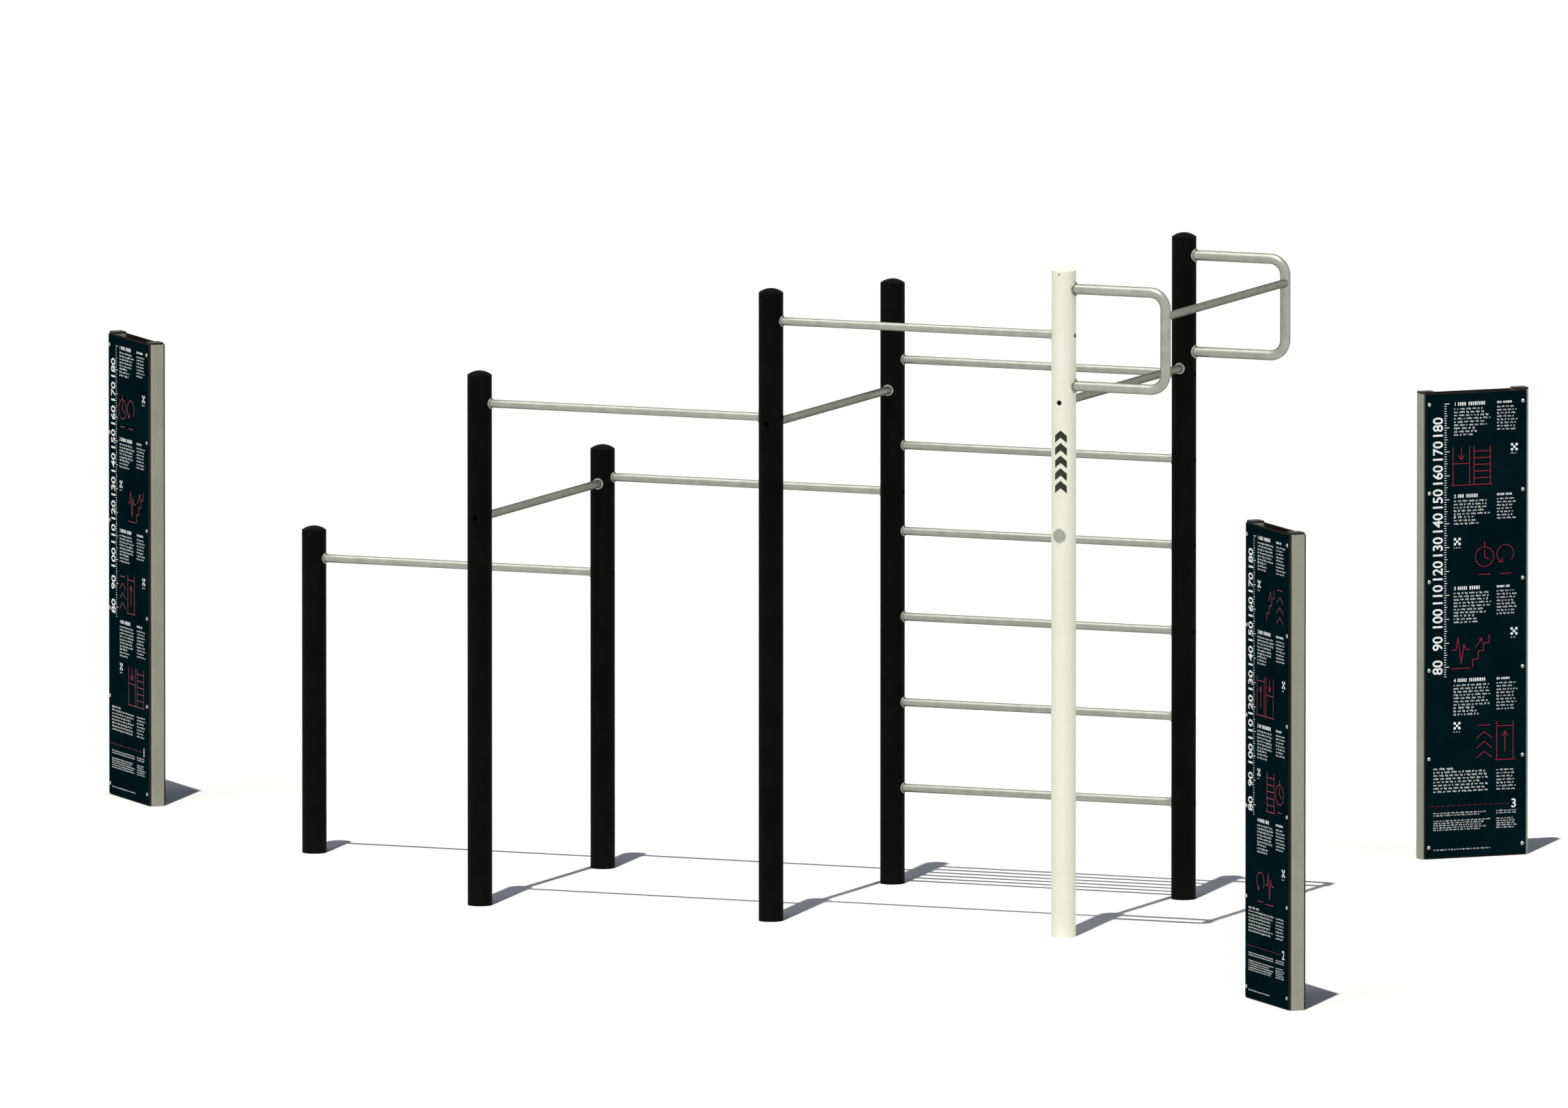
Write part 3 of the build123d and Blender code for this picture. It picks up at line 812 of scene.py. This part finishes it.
def makeBoardPrint(board, number, slab, words, scale, look):
    centre, turn = boardPlaces[board]
    layer = look["ink"] + look["sunk"]
    middle = Matrix.Translation((0, -boardDepth / 2 - look["ink"] + layer / 2, 0))
    front = middle @ Matrix.Diagonal((1, layer, 1, 1))
    face = Matrix.Translation(centre) @ Matrix.Rotation(turn, 4, "Z") @ front
    draw = random.Random(look["seed"] + number)
    white, red = [copyTo(scale, Matrix.Identity(4))], []

    def line(left, right, z, size=1.0):
        # Words up to a ragged right end
        x, end = left, right - draw.uniform(0, look["ragged"]) * (right - left)
        fitting = [word for word in words if x + word[0] * size <= end]
        while fitting:
            width, word = draw.choice(fitting)
            place = Matrix.Translation((x, 0, z)) @ Matrix.Diagonal((size, 1, size, 1))
            white.append(copyTo(word, place))
            x += (width + look["space"]) * size
            fitting = [word for word in words if x + word[0] * size <= end]

    def heading(left, right, z, size):
        # Bold blocks in two words
        x = left
        lettersLeft = draw.randint(*look["wordLetters"])
        while x < right - look["headingLetter"][1] * size:
            width = draw.uniform(*look["headingLetter"]) * size
            white.append(block(slab, x, x + width, z, z + look["headingHeight"] * size))
            lettersLeft -= 1
            gaps = look["wordGap"] if lettersLeft == 0 else 1
            x += width + look["headingGap"] * size * gaps

    def sign(shape, x, z):
        half, thickness = signLook["halfHeight"], 1.0
        for points in shape:
            ends = [(x + half * across, z + half * up) for across, up in points]
            for start, end in zip(ends, ends[1:]):
                red.append(stroke(slab, start, end, signLook["stroke"], thickness))
                thickness += signLook["thicker"]

    def label(text, height, x, z):
        piece = figures(text, height)
        piece.data.transform(Matrix.Translation((x, 0, z)))
        white.append(piece)

    (wideLeft, wideRight), (slimLeft, slimRight) = look["columns"]
    headingHeight, linePitch = look["headingHeight"], look["linePitch"]

    # Sections: a numbered heading, text in both columns, a pair of signs and a plain chequer
    for section in range(look["sections"]):
        top = look["sectionTop"] - section * look["sectionPitch"]
        label(section + 1, headingHeight, wideLeft + look["numberInset"], top - headingHeight)
        wideEnd = wideRight - draw.uniform(*look["headingCut"])
        heading(wideLeft + look["headingInset"], wideEnd, top - headingHeight, 1.0)
        slimEnd = slimRight - draw.uniform(*look["slimHeadingCut"])
        slimFoot = top - headingHeight * look["slimHeadingDrop"]
        heading(slimLeft, slimEnd, slimFoot, look["slimHeading"])
        z = top - headingHeight - linePitch * look["textDrop"]
        for row in range(draw.randint(*look["textRows"])):
            line(wideLeft, wideRight, z)
            z -= linePitch
        line(wideLeft, wideLeft + look["boldLine"], z, look["boldText"])
        for row in range(look["closingRows"]):
            z -= linePitch
            line(wideLeft, wideLeft + look["closingLine"], z)
        z = top - headingHeight - linePitch
        for row in range(draw.randint(*look["slimRows"])):
            line(slimLeft, slimRight, z, look["slimText"])
            z -= linePitch

        # The signs and the chequer change sides from section to section, and from board to board.
        # Each section takes the next two signs, and each board starts three signs on.
        swapped = (section + number) % 2
        for side in (0, 1):
            shape = boardSigns[(2 * section + 3 * number + side) % len(boardSigns)]
            x = look["signPlaces"][swapped] + (side - 0.5) * look["signPitch"]
            sign(shape, x, top - look["signDrop"])
        left = slimRight - look["square"] if swapped else wideLeft
        low = top - look["squareDrop"] - look["square"] / 2
        cell = look["square"] / look["cellsAcross"]
        for across, up in look["whiteCells"]:
            x, foot = left + across * cell, low + up * cell
            white.append(block(slab, x, x + cell, foot, foot + cell))
        line(left, left + look["square"], low - look["captionDrop"], look["smallText"])

    # Foot: lines over a dashed red rule, the board's number at its end, small lines below
    z = look["footTop"]
    line(look["left"], look["left"] + look["boldLine"], z, look["boldText"])
    for row in range(look["footLines"]):
        z -= linePitch
        line(look["left"], wideRight, z)
        line(slimLeft, slimRight, z, look["slimText"])
    boardNumber, ruleZ = look["boardNumber"], look["ruleZ"]
    label(number, boardNumber, slimRight - look["boardNumberInset"], ruleZ - boardNumber / 2)
    x = look["left"] - look["ruleOverhang"]
    while x + look["ruleDash"] < slimRight - look["ruleEnd"]:
        red.append(stroke(slab, (x, ruleZ), (x + look["ruleDash"], ruleZ), look["ruleStroke"]))
        x += look["ruleDash"] + look["ruleGap"]
    for row in look["smallRows"]:
        z = look["smallTop"] - row * look["smallPitch"]
        line(look["left"], wideRight, z, look["smallText"])
        line(slimLeft, slimRight, z, look["smallText"])
    line(look["left"], wideRight, look["lastLine"], look["smallText"])

    for parts, colour, finish in ((white, "white", whitePrint), (red, "red", redPrint)):
        piece = joined(parts)
        piece.data.transform(face)
        finishPiece(f"{board}_{colour}_print", [piece], finish)


inkSlab = makeInkSlab()
inkWords = makeWords(inkSlab, boardPrint, random.Random(boardPrint["seed"]))
inkScale = makeHeightScale(inkSlab, heightScale)
for number, board in enumerate(boardPlaces, start=1):
    makeBoardPrint(board, number, inkSlab, inkWords, inkScale, boardPrint)
for template in [inkSlab, inkScale] + [word for width, word in inkWords]:
    remove(template)


# Film on the front of the cream post: plain chevrons that point up
postFilm = {
    "axis": middleOf("front_right_post"), "radius": 0.0508, "film": 0.00015,
    "halfWidth": 0.026, "stroke": 0.030, "rise": 0.022, "turn": radians(7.5),
    "bottom": 1.835, "pitch": 0.052, "count": 5, "cuts": 15,
}


def makePostFilm(look):
    chevrons = []
    for step in range(look["count"]):
        bpy.ops.object.select_all(action="DESELECT")
        bpy.ops.mesh.primitive_plane_add(size=1.0, rotation=(pi / 2, 0, 0))
        chevron = bpy.context.object
        chevron.scale = (2 * look["halfWidth"], look["stroke"], 1)
        freeze(chevron)
        bpy.ops.object.mode_set(mode="EDIT")
        bpy.ops.mesh.select_all(action="SELECT")
        bpy.ops.mesh.subdivide(number_cuts=look["cuts"])
        bpy.ops.object.mode_set(mode="OBJECT")
        for vertex in chevron.data.vertices:
            # Lift the middle into a point, then wrap the strip round the post
            along = vertex.co.x
            height = vertex.co.z + look["rise"] * (1 - abs(along) / look["halfWidth"])
            around = along / look["radius"] + look["turn"]
            vertex.co = (
                look["axis"][0] + look["radius"] * sin(around),
                look["axis"][1] - look["radius"] * cos(around),
                look["bottom"] + look["stroke"] / 2 + step * look["pitch"] + height,
            )
        thicken = chevron.modifiers.new("film", "SOLIDIFY")
        thicken.thickness = look["film"]
        thicken.offset = 1.0
        select(chevron)
        bpy.ops.object.modifier_apply(modifier="film")
        chevrons.append(chevron)
    finishPiece("front_right_post_film", chevrons, filmVinyl)


makePostFilm(postFilm)
